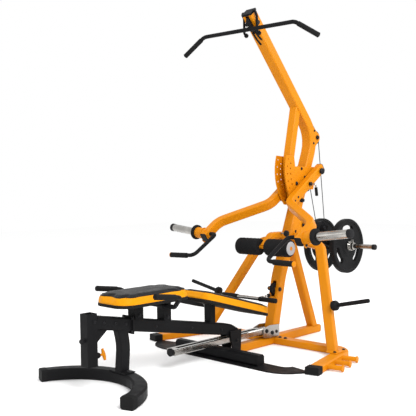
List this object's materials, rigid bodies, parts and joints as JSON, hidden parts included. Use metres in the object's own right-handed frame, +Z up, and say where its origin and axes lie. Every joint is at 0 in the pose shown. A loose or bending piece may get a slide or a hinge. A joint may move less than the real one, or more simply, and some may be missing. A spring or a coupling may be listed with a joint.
{
  "type": "lat pulldown machine",
  "caption": "Plate-loaded lat pulldown and low row station with swinging press arms, thigh rollers, a cable lever and a padded bench on a curved foot.",
  "frame": {"origin": "centre of the bounding box in plan, on the floor", "axes": "+X the way a seated user faces, towards the weights; +Y to the user's left; +Z up"},
  "size_m": [2.3747, 1.4746, 2.0987],
  "materials": {
    "yellow_powder_coat": "satin yellow-orange powder coat",
    "black_powder_coat": "fine-textured charcoal-black powder coat",
    "chrome": "bright plated steel",
    "black_rubber": "matte black rubber",
    "black_vinyl": "black grained upholstery vinyl over foam",
    "pulley_nylon": "black moulded nylon",
    "cable_black": "black sheathed steel cable"
  },
  "bodies": {
    "frame": {"mast": "yellow_powder_coat", "boom_cap": "black_powder_coat", "front_strut": "yellow_powder_coat", "rear_strut": "yellow_powder_coat", "base_spine": "yellow_powder_coat", "left_base_leg": "yellow_powder_coat", "right_base_leg": "yellow_powder_coat", "left_post": "yellow_powder_coat", "right_post": "yellow_powder_coat", "foot_plate": "black_powder_coat", "dock_rail": "chrome", "left_side_plate": "yellow_powder_coat", "right_side_plate": "yellow_powder_coat", "arm_shaft": "chrome", "selector_pin": "chrome", "rear_pulley_bracket": "yellow_powder_coat", "lever_bracket": "yellow_powder_coat", "left_storage_peg": "black_powder_coat", "right_storage_peg": "black_powder_coat", "roller_frame": "yellow_powder_coat", "cable_boom": "cable_black", "cable_column": "cable_black", "cable_a": "cable_black", "cable_b": "cable_black", "bench_beam": "black_powder_coat", "bench_rear_frame": "black_powder_coat", "bench_foot": "black_powder_coat", "seat_frame": "black_powder_coat", "front_pad": "black_vinyl"},
    "weight_lever": {"weight_lever": "black_powder_coat", "lever_horns": "chrome", "left_weight_plate": "black_rubber", "right_weight_plate": "black_rubber", "left_collar": "chrome", "right_collar": "chrome", "cable_loop": "cable_black"},
    "left_arm": {"left_arm": "yellow_powder_coat", "left_arm_horn": "chrome", "left_arm_bumper": "black_rubber", "left_handle": "black_rubber"},
    "right_arm": {"right_arm": "yellow_powder_coat", "right_arm_horn": "chrome", "right_arm_bumper": "black_rubber", "right_handle": "black_rubber"},
    "left_pull_pin": {"left_pull_pin": "chrome"},
    "right_pull_pin": {"right_pull_pin": "chrome"},
    "left_roller": {"left_thigh_roller": "black_vinyl"},
    "right_roller": {"right_thigh_roller": "black_vinyl"},
    "top_pulley": {"top_pulley": "pulley_nylon"},
    "rear_pulley": {"rear_pulley": "pulley_nylon"},
    "column_pulley": {"column_pulley": "pulley_nylon"},
    "low_pulley": {"low_pulley": "pulley_nylon"},
    "lever_pulley": {"lever_pulley": "pulley_nylon"},
    "lat_bar": {"lat_bar": "black_powder_coat", "cable_bar": "cable_black"},
    "row_handle": {"row_handle": "black_rubber", "row_chain": "chrome", "cable_stop": "cable_black"},
    "backrest": {"rear_pad": "black_vinyl"},
    "t_knob": {"t_knob": "yellow_powder_coat"}
  },
  "joints": [
    {"name": "left_arm_swing", "type": "hinge", "parent": "frame", "child": "left_arm", "pos_m": [0.7004, 0, 1.1], "axis": [0, 1, 0], "range_deg": [0, 50]},
    {"name": "right_arm_swing", "type": "hinge", "parent": "frame", "child": "right_arm", "pos_m": [0.7004, 0, 1.1], "axis": [0, 1, 0], "range_deg": [0, 50]},
    {"name": "left_pull_pin_slide", "type": "slide", "parent": "left_arm", "child": "left_pull_pin", "axis": [0, 1, 0], "range_m": [0, 0.02], "stiffness_N_per_m": 60, "springref_m": -0.01},
    {"name": "right_pull_pin_slide", "type": "slide", "parent": "right_arm", "child": "right_pull_pin", "axis": [0, -1, 0], "range_m": [0, 0.02], "stiffness_N_per_m": 60, "springref_m": -0.01},
    {"name": "weight_lever_lift", "type": "hinge", "parent": "frame", "child": "weight_lever", "pos_m": [0.5874, 0, 0.745], "axis": [0, -1, 0], "range_deg": [0, 50], "deforming": ["cable_a", "cable_b"]},
    {"name": "lat_bar_pull", "type": "slide", "parent": "frame", "child": "lat_bar", "axis": [0, 0, -1], "range_m": [0, 0.46], "deforming": ["cable_bar"]},
    {"name": "top_pulley_spin", "type": "hinge", "parent": "frame", "child": "top_pulley", "pos_m": [0.1484, 0, 2.012], "axis": [0, -1, 0], "range_deg": [0, 525]},
    {"name": "rear_pulley_spin", "type": "hinge", "parent": "frame", "child": "rear_pulley", "pos_m": [0.7804, 0, 1.335], "axis": [0, -1, 0], "range_deg": [0, 600]},
    {"name": "lever_pulley_spin", "type": "hinge", "parent": "weight_lever", "child": "lever_pulley", "pos_m": [0.8424, 0, 0.712], "axis": [0, -1, 0], "range_deg": [0, 240]},
    {"name": "row_pull", "type": "slide", "parent": "frame", "child": "row_handle", "axis": [-0.9613, 0, 0.2756], "range_m": [0, 0.42]},
    {"name": "column_pulley_spin", "type": "hinge", "parent": "frame", "child": "column_pulley", "pos_m": [0.6744, 0, 1.01], "axis": [0, -1, 0], "range_deg": [0, 590]},
    {"name": "low_pulley_spin", "type": "hinge", "parent": "frame", "child": "low_pulley", "pos_m": [0.3224, 0, 0.345], "axis": [0, 1, 0], "range_deg": [0, 670]},
    {"name": "left_roller_spin", "type": "hinge", "parent": "frame", "child": "left_roller", "pos_m": [0.2274, 0, 0.62], "axis": [0, 1, 0], "continuous": true},
    {"name": "right_roller_spin", "type": "hinge", "parent": "frame", "child": "right_roller", "pos_m": [0.2274, 0, 0.62], "axis": [0, 1, 0], "continuous": true},
    {"name": "backrest_tilt", "type": "hinge", "parent": "frame", "child": "backrest", "pos_m": [-0.5226, 0, 0.395], "axis": [0, 1, 0], "range_deg": [0, 60]},
    {"name": "t_knob_pull", "type": "slide", "parent": "frame", "child": "t_knob", "axis": [1, 0, 0], "range_m": [0, 0.02], "stiffness_N_per_m": 60, "springref_m": -0.01}
  ],
  "couplings": [
    {"joint": "lat_bar_pull", "follows": "weight_lever_lift", "m_per_rad": 0.514},
    {"joint": "top_pulley_spin", "follows": "weight_lever_lift", "ratio": 10.37},
    {"joint": "rear_pulley_spin", "follows": "weight_lever_lift", "ratio": 11.79},
    {"joint": "lever_pulley_spin", "follows": "weight_lever_lift", "ratio": 4.64},
    {"joint": "column_pulley_spin", "follows": "row_pull", "rad_per_m": 24.04},
    {"joint": "low_pulley_spin", "follows": "row_pull", "rad_per_m": 27.3}
  ]
}
